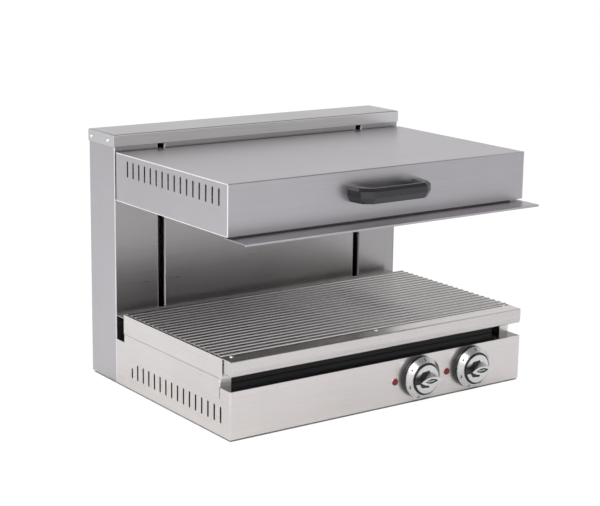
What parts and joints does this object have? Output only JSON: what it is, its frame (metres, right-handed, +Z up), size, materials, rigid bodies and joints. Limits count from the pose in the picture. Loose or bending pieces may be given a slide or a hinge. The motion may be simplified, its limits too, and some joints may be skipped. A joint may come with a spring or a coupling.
{
  "type": "rise-and-fall salamander grill",
  "caption": "Countertop cheese melter: a heated hood rides up and down on a rear column over a rod grate and crumb tray, with heat dials on the base.",
  "frame": {"origin": "on the surface that the feet stand on, under the middle of the whole appliance's box", "axes": "+X to the right seen from the front, along the width; +Y to the back; +Z up"},
  "size_m": [0.606, 0.492, 0.43],
  "materials": {
    "brushed_steel": "brushed stainless sheet, grain along the length",
    "satin_steel": "satin stainless sheet, fine grain",
    "mirror_steel": "bright rolled stainless sheet",
    "black_enamel": "glossy black vitreous enamel",
    "zinc_steel": "zinc-plated steel, dull",
    "bright_steel": "bright turned steel",
    "plated_rods": "bright nickel-plated round rod",
    "wire_rope": "stranded steel wire",
    "heater_sheath": "oxidised dark metal sheath, matt",
    "terminal_brass": "plain brass sleeve",
    "mineral_wool": "matt mineral wool blanket",
    "weight_iron": "rough cast iron",
    "bush_aluminium": "machined aluminium",
    "pulley_plastic": "turned natural nylon",
    "black_handle": "glossy black moulded plastic",
    "black_plastic": "black moulded plastic",
    "dial_aluminium": "satin aluminium trim with plain printed marks",
    "knob_chrome": "satin chrome plate",
    "red_lens": "clear red moulded lens",
    "black_rubber": "matt black rubber",
    "terminal_plastic": "white moulded plastic",
    "wire_sleeve": "heat-proof braided sleeve"
  },
  "bodies": {
    "root": {"base_wrap": "brushed_steel", "floor_pan": "zinc_steel", "rubber_feet": "black_rubber", "control_deck": "black_enamel", "rim_left": "brushed_steel", "rim_right": "brushed_steel", "rim_front": "brushed_steel", "rim_rear": "brushed_steel", "lip_screws": "bright_steel", "column_left": "brushed_steel", "column_right": "brushed_steel", "column_front": "brushed_steel", "column_back": "brushed_steel", "back_screws": "bright_steel", "top_cap": "brushed_steel", "cap_rivets": "bright_steel", "guide_rods": "bright_steel", "guide_brackets": "zinc_steel", "down_stops": "black_rubber", "pulley_beam": "zinc_steel", "pulley_axles": "bright_steel", "cable_wraps": "wire_rope", "weight_guides": "zinc_steel", "energy_regulators": "black_plastic", "dial_skirts": "black_plastic", "dial_rings": "dial_aluminium", "lamp_holders": "zinc_steel", "lamp_lenses": "red_lens", "mains_gland": "black_plastic", "terminal_block": "terminal_plastic", "wiring_loom": "wire_sleeve"},
    "hood": {"hood_wrap": "satin_steel", "hood_left": "satin_steel", "hood_right": "satin_steel", "deflector": "satin_steel", "reflector": "mirror_steel", "insulation": "mineral_wool", "element_left": "heater_sheath", "element_right": "heater_sheath", "element_hangers": "zinc_steel", "element_terminals": "terminal_brass", "hood_handle": "black_handle", "handle_screws": "bright_steel", "hood_arms": "zinc_steel", "carriage_beam": "zinc_steel", "bush_blocks": "bush_aluminium", "hood_cables": "wire_rope"},
    "counterweight": {"counterweight": "weight_iron", "weight_cables": "wire_rope"},
    "pulley_left": {"pulley_left": "pulley_plastic"},
    "pulley_right": {"pulley_right": "pulley_plastic"},
    "grate": {"grate": "plated_rods"},
    "crumb_tray": {"crumb_tray": "black_enamel"},
    "knob_left": {"knob_left": "black_plastic", "knob_face_left": "knob_chrome", "spindle_left": "bright_steel"},
    "knob_right": {"knob_right": "black_plastic", "knob_face_right": "knob_chrome", "spindle_right": "bright_steel"}
  },
  "joints": [
    {"name": "hood_lift", "type": "slide", "parent": "root", "child": "hood", "axis": [0, 0, 1], "range_m": [-0.15, 0], "deforming": ["hood_cables"]},
    {"name": "counterweight_slide", "type": "slide", "parent": "root", "child": "counterweight", "axis": [0, 0, 1], "range_m": [0, 0.15], "deforming": ["weight_cables"]},
    {"name": "pulley_right_spin", "type": "hinge", "parent": "root", "child": "pulley_right", "pos_m": [0.162, 0.193, 0.4002], "axis": [0, 1, 0], "range_deg": [0, 460]},
    {"name": "pulley_left_spin", "type": "hinge", "parent": "root", "child": "pulley_left", "pos_m": [-0.162, 0.193, 0.4002], "axis": [0, 1, 0], "range_deg": [-460, 0]},
    {"name": "grate_lift", "type": "slide", "parent": "root", "child": "grate", "axis": [0, 0, 1], "range_m": [0, 0.025]},
    {"name": "tray_slide", "type": "slide", "parent": "root", "child": "crumb_tray", "axis": [0, -1, 0], "range_m": [0, 0.25]},
    {"name": "knob_left_turn", "type": "hinge", "parent": "root", "child": "knob_left", "pos_m": [0.074, -0.212, 0.0437], "axis": [0, -1, 0], "range_deg": [-270, 0]},
    {"name": "knob_right_turn", "type": "hinge", "parent": "root", "child": "knob_right", "pos_m": [0.185, -0.212, 0.0437], "axis": [0, -1, 0], "range_deg": [-270, 0]}
  ],
  "couplings": [
    {"joint": "counterweight_slide", "follows": "hood_lift", "ratio": -1},
    {"joint": "pulley_right_spin", "follows": "hood_lift", "rad_per_m": -53.191},
    {"joint": "pulley_left_spin", "follows": "hood_lift", "rad_per_m": 53.191}
  ]
}
